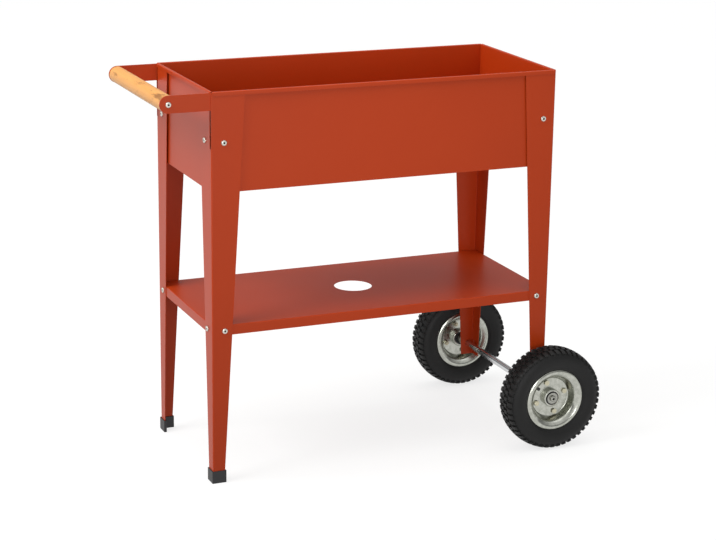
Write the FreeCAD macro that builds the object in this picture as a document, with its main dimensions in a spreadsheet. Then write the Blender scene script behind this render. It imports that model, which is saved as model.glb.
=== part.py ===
import FreeCAD, Part
import os

import Sketcher
from FreeCAD import Placement, Rotation, Vector

# Planter trolley: a tray of folded steel panels on four angle legs, with a shelf, a push handle and two wheels.
# X runs along the tray towards the wheels, the front is -Y and +Z is up.
# The origin is on the floor, in the middle of the whole trolley's outline. Sizes are in millimetres.

doc = FreeCAD.newDocument("planter_trolley")
sheet = doc.addObject("Spreadsheet::Sheet", "sizes")


class Size:
    """A number that also carries the sheet expression it comes from."""

    def __init__(self, value, text):
        self.value = float(value)
        self.text = text

    def joined(self, other, sign, value):
        return Size(value, "(%s %s %s)" % (self.text, sign, other.text))

    def __add__(self, other):
        other = as_size(other)
        return self.joined(other, "+", self.value + other.value)

    def __sub__(self, other):
        other = as_size(other)
        return self.joined(other, "-", self.value - other.value)

    def __mul__(self, other):
        other = as_size(other)
        return self.joined(other, "*", self.value * other.value)

    def __truediv__(self, other):
        other = as_size(other)
        return self.joined(other, "/", self.value / other.value)

    def __neg__(self):
        return self * -1

    def root(self):
        return Size(self.value ** 0.5, "sqrt(%s)" % self.text)

    def __rmul__(self, other):
        return as_size(other) * self


def as_size(number):
    """Let a plain number stand where a size is wanted."""
    if isinstance(number, Size):
        return number
    return Size(number, "(%r)" % float(number))


def least(first, second):
    """The smaller of two sizes, whichever that is when they change."""
    return Size(min(first.value, second.value), "min(%s; %s)" % (first.text, second.text))


rows = iter(range(1, 200))


def size(alias, value):
    """Write one driving dimension into the sheet and give it back."""
    row = next(rows)
    sheet.set("A%d" % row, alias)
    sheet.set("B%d" % row, "%g" % value)
    sheet.setAlias("B%d" % row, alias)
    return Size(value, "sizes." + alias)


# Tray
tray_length = size("tray_length", 738)
tray_width = size("tray_width", 333)
tray_depth = size("tray_depth", 200)
tray_height = size("tray_height", 800)
tray_sheet = size("tray_sheet", 1.0)
rim_drop = size("rim_drop", 8)
rim_clearance = size("rim_clearance", 0.5)
drain_radius = size("drain_radius", 5)
drain_spacing = size("drain_spacing", 220)
# Legs
leg_sheet = size("leg_sheet", 1.5)
leg_standoff = size("leg_standoff", 3)
leg_top_width = size("leg_top_width", 70)
leg_foot_width = size("leg_foot_width", 24)
short_leg_below_axle = size("short_leg_below_axle", 25)
lock_hole_radius = size("lock_hole_radius", 2.3)
lock_hole_inset = size("lock_hole_inset", 8.5)
lock_hole_rise = size("lock_hole_rise", 5.5)
# Shelf
shelf_height = size("shelf_height", 331)
shelf_sheet = size("shelf_sheet", 1.2)
shelf_lip = size("shelf_lip", 21)
shelf_hole_radius = size("shelf_hole_radius", 40)
# Handle
arm_height = size("arm_height", 34.5)
arm_reach = size("arm_reach", 102)
arm_tab_width = size("arm_tab_width", 30)
slit_clearance = size("slit_clearance", 4)
slit_below_bolt = size("slit_below_bolt", 12)
grip_radius = size("grip_radius", 16.8)
grip_edge = size("grip_edge", 1.2)
# Bolts that hold the legs, the shelf and the grip
bolt_radius = size("bolt_radius", 3)
bolt_clearance = size("bolt_clearance", 0.3)
bolt_head_radius = size("bolt_head_radius", 5.75)
bolt_head_height = size("bolt_head_height", 3.3)
bolt_head_round = size("bolt_head_round", 2)
bolt_socket_width = size("bolt_socket_width", 4)
bolt_socket_depth = size("bolt_socket_depth", 2)
bolt_tail = size("bolt_tail", 1.5)
nut_width = size("nut_width", 10)
nut_height = size("nut_height", 5)
spacer_radius = size("spacer_radius", 7)
tray_bolt_drop = size("tray_bolt_drop", 100)
shelf_bolt_drop = size("shelf_bolt_drop", 11)
side_bolt_inset = size("side_bolt_inset", 26)
end_tray_bolt_inset = size("end_tray_bolt_inset", 36)
end_shelf_bolt_inset = size("end_shelf_bolt_inset", 28)
grip_screw_length = size("grip_screw_length", 35)
# Foot caps
cap_height = size("cap_height", 26)
cap_wall = size("cap_wall", 2)
cap_floor = size("cap_floor", 3)
cap_clearance = size("cap_clearance", 0.2)
# Axle
axle_radius = size("axle_radius", 7.5)
axle_inset = size("axle_inset", 11.5)
axle_clearance = size("axle_clearance", 0.3)
axle_end_gap = size("axle_end_gap", 0.5)
wheel_track = size("wheel_track", 442)
tapped_radius = size("tapped_radius", 4)
tapped_depth = size("tapped_depth", 25)
tapped_clearance = size("tapped_clearance", 0.1)
end_bolt_radius = size("end_bolt_radius", 6.5)
end_bolt_head = size("end_bolt_head", 5.3)
end_bolt_round = size("end_bolt_round", 2.5)
end_socket_width = size("end_socket_width", 5)
end_socket_depth = size("end_socket_depth", 3)
end_bolt_length = size("end_bolt_length", 22)
end_washer_radius = size("end_washer_radius", 12)
end_washer_sheet = size("end_washer_sheet", 2)
spacer_tube_radius = size("spacer_tube_radius", 10)
# Bearings
bearing_radius = size("bearing_radius", 17.5)
bearing_width = size("bearing_width", 11)
bearing_ring = size("bearing_ring", 2.6)
bearing_shield = size("bearing_shield", 1)
bearing_play = size("bearing_play", 0.05)
bearing_balls = size("bearing_balls", 9)
# Rims
rim_sheet = size("rim_sheet", 1.6)
rim_radius = size("rim_radius", 64.5)
rim_width = size("rim_width", 49)
rim_disc_radius = size("rim_disc_radius", 42)
bead_seat_radius = size("bead_seat_radius", 50.8)
rim_flange_width = size("rim_flange_width", 6)
rim_cup_lip = size("rim_cup_lip", 1.8)
rim_dome = size("rim_dome", 3.2)
rim_bolt_across = size("rim_bolt_across", 32.5)
rim_bolt_rise = size("rim_bolt_rise", 10)
rim_bolt_count = size("rim_bolt_count", 4)
rim_bolt_radius = size("rim_bolt_radius", 3)
rim_bolt_head_width = size("rim_bolt_head_width", 10)
rim_bolt_head_height = size("rim_bolt_head_height", 4)
# Tyres
tyre_radius = size("tyre_radius", 109.5)
tyre_width = size("tyre_width", 62)
tyre_wall = size("tyre_wall", 4.5)
tyre_crown = size("tyre_crown", 7.5)
tyre_shoulder = size("tyre_shoulder", 46)
tyre_bead_gap = size("tyre_bead_gap", 0.2)
lug_height = size("lug_height", 3)
lug_count = size("lug_count", 48)
lug_length = size("lug_length", 7.5)
lug_groove = size("lug_groove", 4)
lug_overhang = size("lug_overhang", 3.5)
tube_gap = size("tube_gap", 2)
tube_wall = size("tube_wall", 2)
valve_radius = size("valve_radius", 4.2)
valve_length = size("valve_length", 10)
valve_offset = size("valve_offset", 9)
valve_turn = size("valve_turn", 126)
valve_cap_radius = size("valve_cap_radius", 3.4)
valve_cap_length = size("valve_cap_length", 7)

# Faces and centres worked out from the sizes, in the tray's own frame
half_length = tray_length / 2
half_width = tray_width / 2
leg_inner_x = half_length + leg_standoff
leg_inner_y = half_width + leg_standoff
leg_outer_x = leg_inner_x + leg_sheet
leg_outer_y = leg_inner_y + leg_sheet
rim_inner_x = leg_outer_x + rim_clearance
rim_inner_y = leg_outer_y + rim_clearance
rim_outer_x = rim_inner_x + tray_sheet
rim_outer_y = rim_inner_y + tray_sheet
tray_foot = tray_height - tray_depth
leg_top = tray_height - tray_sheet - rim_clearance
tray_bolt_z = tray_height - tray_bolt_drop
shelf_bolt_z = shelf_height - shelf_bolt_drop
side_bolt_x = leg_outer_x - side_bolt_inset
end_tray_bolt_y = leg_outer_y - end_tray_bolt_inset
end_shelf_bolt_y = leg_outer_y - end_shelf_bolt_inset
axle_x = leg_outer_x - axle_inset
wheel_y = wheel_track / 2
handle_end_x = leg_outer_x + arm_reach
grip_x = handle_end_x - arm_height / 2
grip_z = leg_top - arm_height / 2
bolt_hole_radius = bolt_radius + bolt_clearance
bead_radius = bead_seat_radius + tyre_bead_gap
tyre_root = tyre_radius - lug_height
belly_radius = (rim_radius + tyre_root) / 2
hollow_radius = tyre_root - tyre_crown
hollow_half = tyre_width / 2 - tyre_wall
tube_ring_radius = (hollow_radius + bead_radius) / 2
# A round tube fills its tyre's hollow up to the nearer of the crown and the walls
tube_radius = least((hollow_radius - bead_radius) / 2, hollow_half) - tube_gap
# The trolley reaches from the handle's end to the tyres, and its middle is the origin
tray_x = (handle_end_x - axle_x - tyre_radius) / 2

nodes = []


def bind(item, **sizes):
    """Tie an object's properties to the sheet."""
    for name, number in sizes.items():
        item.setExpression(name, as_size(number).text)


def put(item, x=0, y=0, z=0, rotation=None):
    """Place an object at a point given by sizes."""
    item.Placement = Placement(Vector(0, 0, 0), rotation or Rotation())
    for axis, number in zip("xyz", (x, y, z)):
        item.setExpression("Placement.Base." + axis, as_size(number).text)


def node(item, label):
    """Name a finished sub-part, which is written under that name."""
    item.Label = label
    nodes.append(item)
    return item


def box(low, high):
    """A block between two corners."""
    block = doc.addObject("Part::Box", "block")
    lengths = [as_size(top) - as_size(bottom) for bottom, top in zip(low, high)]
    bind(block, Length=lengths[0], Width=lengths[1], Height=lengths[2])
    put(block, *low)
    return block


TURNS = {
    "+x": Rotation(Vector(0, 1, 0), 90),
    "-x": Rotation(Vector(0, 1, 0), -90),
    "+y": Rotation(Vector(1, 0, 0), -90),
    "-y": Rotation(Vector(1, 0, 0), 90),
    "+z": Rotation(),
    "-z": Rotation(Vector(1, 0, 0), 180),
}


def rod(radius, length, start=(0, 0, 0), along="+z"):
    """A round bar from a start point."""
    bar = doc.addObject("Part::Cylinder", "bar")
    bind(bar, Radius=radius, Height=length)
    put(bar, *start, rotation=TURNS[along])
    return bar


def hexagon(width, height, start=(0, 0, 0), along="+z"):
    """A six-sided bar, given its width across flats."""
    prism = doc.addObject("Part::Prism", "prism")
    prism.Polygon = 6
    corner_over_flat = 3 ** -0.5
    bind(prism, Circumradius=width * corner_over_flat, Height=height)
    put(prism, *start, rotation=TURNS[along])
    return prism


def fuse(*pieces):
    """One solid from several that touch."""
    joined = doc.addObject("Part::MultiFuse", "joined")
    joined.Shapes = list(pieces)
    return joined


def group(pieces):
    """Separate solids kept together."""
    together = doc.addObject("Part::Compound", "together")
    together.Links = list(pieces)
    return together


def cut(base, *tools):
    """A solid with others taken away from it."""
    rest = doc.addObject("Part::Cut", "rest")
    rest.Base = base
    rest.Tool = tools[0] if len(tools) == 1 else fuse(*tools)
    return rest


def mirrored(source, label):
    """The same piece on the back side of the trolley."""
    copy = doc.addObject("Part::Mirroring", "mirrored")
    copy.Source = source
    copy.Normal = Vector(0, 1, 0)
    copy.Base = Vector(0, 0, 0)
    return node(copy, label)


def new_body(label):
    """A body that becomes one sub-part."""
    return node(doc.addObject("PartDesign::Body", "body"), label)


def new_sketch(body, plane, offset=0):
    """An empty sketch on one of the body's planes, raised along its normal."""
    sketch = body.newObject("Sketcher::SketchObject", "sketch")
    origin_plane = next(part for part in body.Origin.OriginFeatures if part.Role == plane)
    sketch.AttachmentSupport = [(origin_plane, "")]
    sketch.MapMode = "FlatFace"
    sketch.setExpression("AttachmentOffset.Base.z", as_size(offset).text)
    return sketch


def pin(sketch, edge, end, x, y):
    """Hold one point of a sketch at a place given by sizes."""
    for kind, number in (("DistanceX", as_size(x)), ("DistanceY", as_size(y))):
        index = sketch.addConstraint(Sketcher.Constraint(kind, -1, 1, edge, end, number.value))
        sketch.setExpression("Constraints[%d]" % index, number.text)


def outline(sketch, points, arcs=None):
    """A closed outline through points, with arcs on some of its runs.

    An arc is given by its run's index, as its centre's first coordinate and the side that it swells to:
    1 is the right of the run and -1 its left.
    """
    arcs = arcs or {}
    places = [Vector(as_size(x).value, as_size(y).value, 0) for x, y in points]
    for index, start in enumerate(places):
        following = (index + 1) % len(places)
        end = places[following]
        first, last = 1, 2
        if index in arcs:
            centre_x, side = arcs[index]
            middle = (start + end) * 0.5
            chord = end - start
            centre_y = middle.y - (centre_x.value - middle.x) * chord.x / chord.y
            centre = Vector(centre_x.value, centre_y, 0)
            outward = Vector(chord.y, -chord.x, 0).normalize() * side
            top = centre + outward * (start - centre).Length
            if side > 0:
                curve = Part.Arc(start, top, end)
            else:
                curve = Part.Arc(end, top, start)
                first, last = 2, 1
            edge = sketch.addGeometry(curve)
            spot = sketch.addConstraint(Sketcher.Constraint("DistanceX", -1, 1, edge, 3, centre_x.value))
            sketch.setExpression("Constraints[%d]" % spot, centre_x.text)
        else:
            edge = sketch.addGeometry(Part.LineSegment(start, end))
        pin(sketch, edge, first, *points[index])
        pin(sketch, edge, last, *points[following])
    return sketch


def rectangle(sketch, left, bottom, right, top):
    """A closed rectangle in a sketch."""
    return outline(sketch, [(left, bottom), (right, bottom), (right, top), (left, top)])


def circles(sketch, places, radius):
    """Round holes in a sketch."""
    for x, y in places:
        centre = Vector(as_size(x).value, as_size(y).value, 0)
        edge = sketch.addGeometry(Part.Circle(centre, Vector(0, 0, 1), as_size(radius).value))
        pin(sketch, edge, 3, x, y)
        index = sketch.addConstraint(Sketcher.Constraint("Radius", edge, as_size(radius).value))
        sketch.setExpression("Constraints[%d]" % index, as_size(radius).text)
    return sketch


def pad(body, sketch, length, reverse=False):
    """Raise a sketch into a solid."""
    feature = body.newObject("PartDesign::Pad", "pad")
    feature.Profile = sketch
    feature.Reversed = reverse
    bind(feature, Length=length)
    doc.recompute()
    return feature


def pocket(body, sketch, length=None, reverse=False):
    """Cut a sketch into the solid, to a depth or right through both ways."""
    before = body.Shape.Volume
    feature = body.newObject("PartDesign::Pocket", "pocket")
    feature.Profile = sketch
    feature.Reversed = reverse
    if length is None:
        feature.Type = "ThroughAll"
        feature.SideType = "Symmetric"
    else:
        bind(feature, Length=length)
    doc.recompute()
    if body.Shape.Volume > before - 1e-6:
        raise RuntimeError("%s: a pocket cut nothing" % body.Label)
    return feature


def revolve(body, sketch):
    """Turn a sketch about its own vertical axis."""
    feature = body.newObject("PartDesign::Revolution", "turned")
    feature.Profile = sketch
    feature.ReferenceAxis = (sketch, ["V_Axis"])
    feature.Angle = 360
    doc.recompute()
    return feature


def polar(body, feature, count):
    """Repeat a feature round the body's Y axis."""
    pattern = body.newObject("PartDesign::PolarPattern", "ring")
    pattern.Originals = [feature]
    axis = next(part for part in body.Origin.OriginFeatures if part.Role == "Y_Axis")
    pattern.Axis = (axis, [""])
    pattern.Angle = 360
    bind(pattern, Occurrences=count)
    body.Tip = pattern
    doc.recompute()
    return pattern


def make_side_panel():
    """A long wall of the tray: a flat sheet whose top turns out and then down."""
    body = new_body("tray_front_panel")
    put(body, x=tray_x)
    wall = new_sketch(body, "XZ_Plane", half_width - tray_sheet)
    rectangle(wall, -half_length, tray_foot, half_length, tray_height)
    pad(body, wall, tray_sheet)
    # The rim ends at the arms and the bends of the legs
    rim_end = leg_inner_x - rim_clearance
    rim = new_sketch(body, "YZ_Plane", -rim_end)
    outline(rim, rim_points(-1, half_width, rim_inner_y, rim_outer_y))
    pad(body, rim, rim_end * 2)
    holes = new_sketch(body, "XZ_Plane")
    circles(holes, [(-side_bolt_x, tray_bolt_z), (side_bolt_x, tray_bolt_z)], bolt_hole_radius)
    pocket(body, holes)
    mirrored(body, "tray_back_panel")


def rim_points(side, wall, inner, outer):
    """The section of a rim, from the wall's outer face out and down. The side is -1 or 1."""
    return [
        (side * wall, tray_height),
        (side * outer, tray_height),
        (side * outer, tray_height - rim_drop),
        (side * inner, tray_height - rim_drop),
        (side * inner, tray_height - tray_sheet),
        (side * wall, tray_height - tray_sheet),
    ]


def make_end_panel(label, side):
    """A short wall of the tray, between the long ones. The side is -1 at the handle and 1 at the wheels."""
    body = new_body(label)
    put(body, x=tray_x)
    inner_y = half_width - tray_sheet
    wall = new_sketch(body, "YZ_Plane", side * half_length)
    rectangle(wall, -inner_y, tray_foot, inner_y, tray_height)
    pad(body, wall, tray_sheet, reverse=side > 0)
    rim = new_sketch(body, "XZ_Plane", -half_width)
    outline(rim, rim_points(side, half_length, rim_inner_x, rim_outer_x))
    pad(body, rim, tray_width)
    holes = new_sketch(body, "YZ_Plane")
    circles(holes, [(-end_tray_bolt_y, tray_bolt_z), (end_tray_bolt_y, tray_bolt_z)], bolt_hole_radius)
    pocket(body, holes)


def make_tray_floor():
    """The tray's floor: a flat sheet welded between the walls, with three drain holes."""
    body = new_body("tray_floor_panel")
    put(body, x=tray_x)
    inner_x = half_length - tray_sheet
    inner_y = half_width - tray_sheet
    blank = new_sketch(body, "XY_Plane", tray_foot)
    rectangle(blank, -inner_x, -inner_y, inner_x, inner_y)
    pad(body, blank, tray_sheet)
    drains = new_sketch(body, "XY_Plane", tray_foot)
    circles(drains, [(drain_spacing * step, 0) for step in (-1, 0, 1)], drain_radius)
    pocket(body, drains, tray_sheet, reverse=True)


def flange_width(height):
    """A leg's flange narrows from the rim to the floor."""
    return leg_foot_width + (leg_top_width - leg_foot_width) * height / tray_height


def make_leg(label, side, foot):
    """One front leg, a tapered angle. The side is -1 at the handle and 1 at the wheels."""
    body = new_body(label)
    put(body, x=tray_x)
    front = new_sketch(body, "XZ_Plane", leg_inner_y)
    outline(front, [
        (side * leg_outer_x, foot),
        (side * (leg_outer_x - flange_width(foot)), foot),
        (side * (leg_outer_x - flange_width(leg_top)), leg_top),
        (side * leg_outer_x, leg_top),
    ])
    pad(body, front, leg_sheet)
    end = new_sketch(body, "YZ_Plane", side * leg_inner_x)
    outline(end, [
        (-leg_outer_y, foot),
        (-leg_outer_y + flange_width(foot), foot),
        (-leg_outer_y + flange_width(leg_top), leg_top),
        (-leg_outer_y, leg_top),
    ])
    pad(body, end, leg_sheet, reverse=side < 0)
    front_holes = new_sketch(body, "XZ_Plane", leg_inner_y)
    front_spots = [(side * side_bolt_x, tray_bolt_z), (side * side_bolt_x, shelf_bolt_z)]
    circles(front_holes, front_spots, bolt_hole_radius)
    pocket(body, front_holes, leg_sheet, reverse=True)
    end_holes = new_sketch(body, "YZ_Plane", side * leg_inner_x)
    end_spots = [(-end_tray_bolt_y, tray_bolt_z), (-end_shelf_bolt_y, shelf_bolt_z)]
    circles(end_holes, end_spots, bolt_hole_radius)
    pocket(body, end_holes, leg_sheet, reverse=side > 0)
    return body


def make_long_leg():
    """The leg at the handle end has a slit beside its bend, which the arm passes through."""
    body = make_leg("front_handle_leg", -1, cap_floor)
    slit = new_sketch(body, "YZ_Plane", -leg_inner_x)
    slit_foot = tray_bolt_z - slit_below_bolt
    rectangle(slit, -leg_inner_y, slit_foot, -half_width + slit_clearance, leg_top)
    pocket(body, slit, leg_sheet)
    mirrored(body, "back_handle_leg")


def make_short_leg():
    """The leg at the wheel end stops just below its axle, with a small hole in the end flange."""
    body = make_leg("front_wheel_leg", 1, tyre_radius - short_leg_below_axle)
    bore = new_sketch(body, "XZ_Plane", leg_inner_y)
    circles(bore, [(axle_x, tyre_radius)], axle_radius + axle_clearance)
    pocket(body, bore, leg_sheet, reverse=True)
    lock_hole = new_sketch(body, "YZ_Plane", leg_inner_x)
    circles(lock_hole, [(-leg_outer_y + lock_hole_inset, tyre_radius + lock_hole_rise)], lock_hole_radius)
    pocket(body, lock_hole, leg_sheet, reverse=True)
    mirrored(body, "back_wheel_leg")


def make_shelf():
    """The shelf: a sheet with turned-down lips that sit inside the legs, and a round hole."""
    body = new_body("shelf")
    put(body, x=tray_x)
    blank = new_sketch(body, "XY_Plane", shelf_height)
    rectangle(blank, -leg_inner_x, -leg_inner_y, leg_inner_x, leg_inner_y)
    pad(body, blank, shelf_lip, reverse=True)
    inner_x = leg_inner_x - shelf_sheet
    inner_y = leg_inner_y - shelf_sheet
    under = new_sketch(body, "XY_Plane", shelf_height - shelf_lip)
    rectangle(under, -inner_x, -inner_y, inner_x, inner_y)
    pocket(body, under, shelf_lip - shelf_sheet, reverse=True)
    hole = circles(new_sketch(body, "XY_Plane", shelf_height), [(0, 0)], shelf_hole_radius)
    pocket(body, hole, shelf_sheet)
    side_holes = new_sketch(body, "XZ_Plane")
    circles(side_holes, [(-side_bolt_x, shelf_bolt_z), (side_bolt_x, shelf_bolt_z)], bolt_hole_radius)
    pocket(body, side_holes)
    end_holes = new_sketch(body, "YZ_Plane")
    end_spots = [(-end_shelf_bolt_y, shelf_bolt_z), (end_shelf_bolt_y, shelf_bolt_z)]
    circles(end_holes, end_spots, bolt_hole_radius)
    pocket(body, end_holes)


def make_arms():
    """A handle arm: a flat bar with a round end, and a tab that the tray bolt clamps."""
    body = new_body("front_handle_arm")
    put(body, x=tray_x)
    arm_foot = leg_top - arm_height
    tab_outer = -side_bolt_x - arm_tab_width / 2
    tab_inner = -side_bolt_x + arm_tab_width / 2
    tab_foot = tray_bolt_z - slit_below_bolt
    plate = new_sketch(body, "XZ_Plane", half_width)
    outline(plate, [
        (-grip_x, arm_foot),
        (tab_outer, arm_foot),
        (tab_outer, tab_foot),
        (tab_inner, tab_foot),
        (tab_inner, leg_top),
        (-grip_x, leg_top),
    ], {5: (-grip_x, 1)})
    pad(body, plate, leg_standoff)
    holes = new_sketch(body, "XZ_Plane", half_width)
    circles(holes, [(-grip_x, grip_z), (-side_bolt_x, tray_bolt_z)], bolt_hole_radius)
    pocket(body, holes, leg_standoff, reverse=True)
    mirrored(body, "back_handle_arm")


def make_grip():
    """The wooden grip between the arms, with eased ends and a screw in each."""
    body = new_body("handle_grip")
    put(body, x=tray_x - grip_x, z=grip_z)
    eased = grip_radius - grip_edge
    inner_end = half_width - grip_screw_length + leg_standoff
    outline(new_sketch(body, "XY_Plane"), [
        (0, -inner_end),
        (bolt_radius, -inner_end),
        (bolt_radius, -half_width),
        (eased, -half_width),
        (grip_radius, -half_width + grip_edge),
        (grip_radius, half_width - grip_edge),
        (eased, half_width),
        (bolt_radius, half_width),
        (bolt_radius, inner_end),
        (0, inner_end),
    ])
    revolve(body, body.Group[0])


def button_head(radius, height, rounding, socket_width, socket_depth):
    """A bolt's domed head with a hexagon socket, below its seat at the origin."""
    head = rod(radius, height, (0, 0, -height))
    dome = doc.addObject("Part::Fillet", "dome")
    dome.Base = head
    doc.recompute()
    crown = [index + 1 for index, edge in enumerate(head.Shape.Edges)
             if edge.BoundBox.ZMax < -height.value + 1e-6]
    dome.Edges = [(crown[0], rounding.value, rounding.value)]
    return cut(dome, hexagon(socket_width, socket_depth, (0, 0, -height)))


def bolt(length, place, along):
    """A button-head bolt. The place is under its head, and it points the given way."""
    head = button_head(bolt_head_radius, bolt_head_height, bolt_head_round,
                       bolt_socket_width, bolt_socket_depth)
    whole = fuse(rod(bolt_radius, length), head)
    put(whole, *place, rotation=TURNS[along])
    return whole


def nut(place, along):
    """A hexagon nut that starts at the place and runs the given way."""
    whole = cut(hexagon(nut_width, nut_height), rod(bolt_radius, nut_height))
    put(whole, *place, rotation=TURNS[along])
    return whole


def spacer(place, along):
    """A ring that fills the gap between a leg and the tray."""
    ring = cut(rod(spacer_radius, leg_standoff), rod(bolt_hole_radius, leg_standoff))
    put(ring, *place, rotation=TURNS[along])
    return ring


def make_leg_bolts():
    """Bolts, nuts and spacers of the tray and the shelf: one in each flange of each leg."""
    tray_grip = leg_sheet + leg_standoff + tray_sheet
    shelf_grip = leg_sheet + shelf_sheet
    tray_bolts = []
    tray_nuts = []
    shelf_bolts = []
    shelf_nuts = []
    spacers = []
    for side_x in (-1, 1):
        for side_y in (-1, 1):
            x = tray_x + side_x * side_bolt_x
            inward = "+y" if side_y < 0 else "-y"
            outer = side_y * leg_outer_y
            tray_bolts.append(bolt(tray_grip + nut_height + bolt_tail, (x, outer, tray_bolt_z), inward))
            tray_nuts.append(nut((x, side_y * (half_width - tray_sheet), tray_bolt_z), inward))
            shelf_bolts.append(bolt(shelf_grip + nut_height + bolt_tail, (x, outer, shelf_bolt_z), inward))
            shelf_nuts.append(nut((x, side_y * (leg_inner_y - shelf_sheet), shelf_bolt_z), inward))
            if side_x > 0:
                spacers.append(spacer((x, side_y * leg_inner_y, tray_bolt_z), inward))
            outer = tray_x + side_x * leg_outer_x
            inward = "+x" if side_x < 0 else "-x"
            y = side_y * end_tray_bolt_y
            tray_bolts.append(bolt(tray_grip + nut_height + bolt_tail, (outer, y, tray_bolt_z), inward))
            tray_nuts.append(nut((tray_x + side_x * (half_length - tray_sheet), y, tray_bolt_z), inward))
            spacers.append(spacer((tray_x + side_x * leg_inner_x, y, tray_bolt_z), inward))
            y = side_y * end_shelf_bolt_y
            shelf_bolts.append(bolt(shelf_grip + nut_height + bolt_tail, (outer, y, shelf_bolt_z), inward))
            shelf_nuts.append(nut((tray_x + side_x * (leg_inner_x - shelf_sheet), y, shelf_bolt_z), inward))
    node(group(tray_bolts), "tray_bolts")
    node(group(tray_nuts), "tray_nuts")
    node(group(spacers), "tray_spacers")
    node(group(shelf_bolts), "shelf_bolts")
    node(group(shelf_nuts), "shelf_nuts")
    screws = []
    for side_y, inward in ((-1, "+y"), (1, "-y")):
        place = (tray_x - grip_x, side_y * leg_inner_y, grip_z)
        screws.append(bolt(grip_screw_length, place, inward))
    node(group(screws), "handle_screws")


def angle_block(wall, low, high):
    """An angle-shaped block round a front leg's foot, grown by a wall on every side."""
    reach = flange_width(cap_height) + wall
    x_low = -leg_outer_x - wall
    y_low = -leg_outer_y - wall
    x_thick = -leg_inner_x + wall
    y_thick = -leg_inner_y + wall
    along = box((x_low, y_low, low), (-leg_outer_x + reach, y_thick, high))
    across = box((x_low, y_low, low), (x_thick, -leg_outer_y + reach, high))
    return fuse(along, across)


def make_foot_caps():
    """A plastic cap over the foot of each long leg."""
    outside = angle_block(cap_wall + cap_clearance, 0, cap_height)
    pocket_block = angle_block(cap_clearance, cap_floor, cap_height)
    cap = cut(outside, pocket_block)
    put(cap, x=tray_x)
    mirrored(node(cap, "front_foot_cap"), "back_foot_cap")


# Wheels are built about the front wheel's own centre, whose outer side is -Y
def at_wheel(item):
    """Place a piece at the front wheel."""
    put(item, x=tray_x + axle_x, y=-wheel_y, z=tyre_radius)
    return item


def both_wheels(piece, name):
    """Name a piece of the front wheel and mirror it for the back wheel."""
    node(at_wheel(piece), "front_" + name)
    mirrored(piece, "back_" + name)


def turned(piece, degrees):
    """A piece turned about the wheel's axis."""
    holder = group([piece])
    holder.Placement = Placement(Vector(0, 0, 0), Rotation(Vector(0, 1, 0), degrees))
    return holder


def ring_of(piece_maker, count):
    """Copies of a piece about the wheel's axis."""
    return group([turned(piece_maker(), 360.0 * step / count.value) for step in range(int(count.value))])


def rim_half(name, side):
    """A pressed rim half: bearing cup, disc, dished barrel and rolled flange. The side is -1 outside."""
    body = new_body("front_" + name)
    at_wheel(body)
    cup_inner = bearing_radius + bearing_play
    cup_outer = cup_inner + rim_sheet
    cup_end = bearing_width + rim_sheet
    edge = rim_width / 2
    seat_end = edge - rim_flange_width
    points = [
        (cup_inner, 0),
        (rim_disc_radius + rim_sheet, 0),
        (bead_seat_radius, seat_end),
        (bead_seat_radius + rim_flange_width, edge - rim_sheet),
        (rim_radius, edge - rim_sheet),
        (rim_radius, edge),
        (bead_seat_radius + rim_flange_width - rim_sheet, edge),
        (bead_seat_radius - rim_sheet, seat_end + rim_sheet),
        (rim_disc_radius, rim_sheet),
        (cup_outer + rim_dome, rim_sheet),
        (cup_outer, rim_sheet + rim_dome),
        (cup_outer, cup_end),
        (cup_inner - rim_cup_lip, cup_end),
        (cup_inner - rim_cup_lip, bearing_width),
        (cup_inner, bearing_width),
    ]
    outline(new_sketch(body, "XY_Plane"), [(radius, side * along) for radius, along in points])
    revolve(body, body.Group[0])
    hole = new_sketch(body, "XZ_Plane")
    circles(hole, [(rim_bolt_across, rim_bolt_rise)], rim_bolt_radius + bolt_clearance)
    polar(body, pocket(body, hole), rim_bolt_count)
    return body


def make_rims():
    """The two rim halves of each wheel. The outer one has the valve's hole."""
    outer = rim_half("outer_rim", -1)
    hole = new_sketch(outer, "XY_Plane")
    hole.AttachmentOffset = Placement(Vector(0, 0, 0), Rotation(Vector(0, 1, 0), valve_turn.value))
    circles(hole, [(0, -valve_offset)], valve_radius + bolt_clearance)
    pocket(outer, hole, rim_radius)
    mirrored(outer, "back_outer_rim")
    mirrored(rim_half("inner_rim", 1), "back_inner_rim")


def make_rim_bolts():
    """Four bolts and nuts that clamp the rim halves together."""
    head_seat = (rim_bolt_across, -rim_sheet, rim_bolt_rise)
    nut_seat = (rim_bolt_across, rim_sheet, rim_bolt_rise)

    def one_bolt():
        head = hexagon(rim_bolt_head_width, rim_bolt_head_height, head_seat, "-y")
        length = rim_sheet * 2 + nut_height + bolt_tail
        return fuse(head, rod(rim_bolt_radius, length, head_seat, "+y"))

    def one_nut():
        blank = hexagon(rim_bolt_head_width, nut_height, nut_seat, "+y")
        return cut(blank, rod(rim_bolt_radius, nut_height, nut_seat, "+y"))

    both_wheels(ring_of(one_bolt, rim_bolt_count), "rim_bolts")
    both_wheels(ring_of(one_nut, rim_bolt_count), "rim_nuts")


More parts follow.
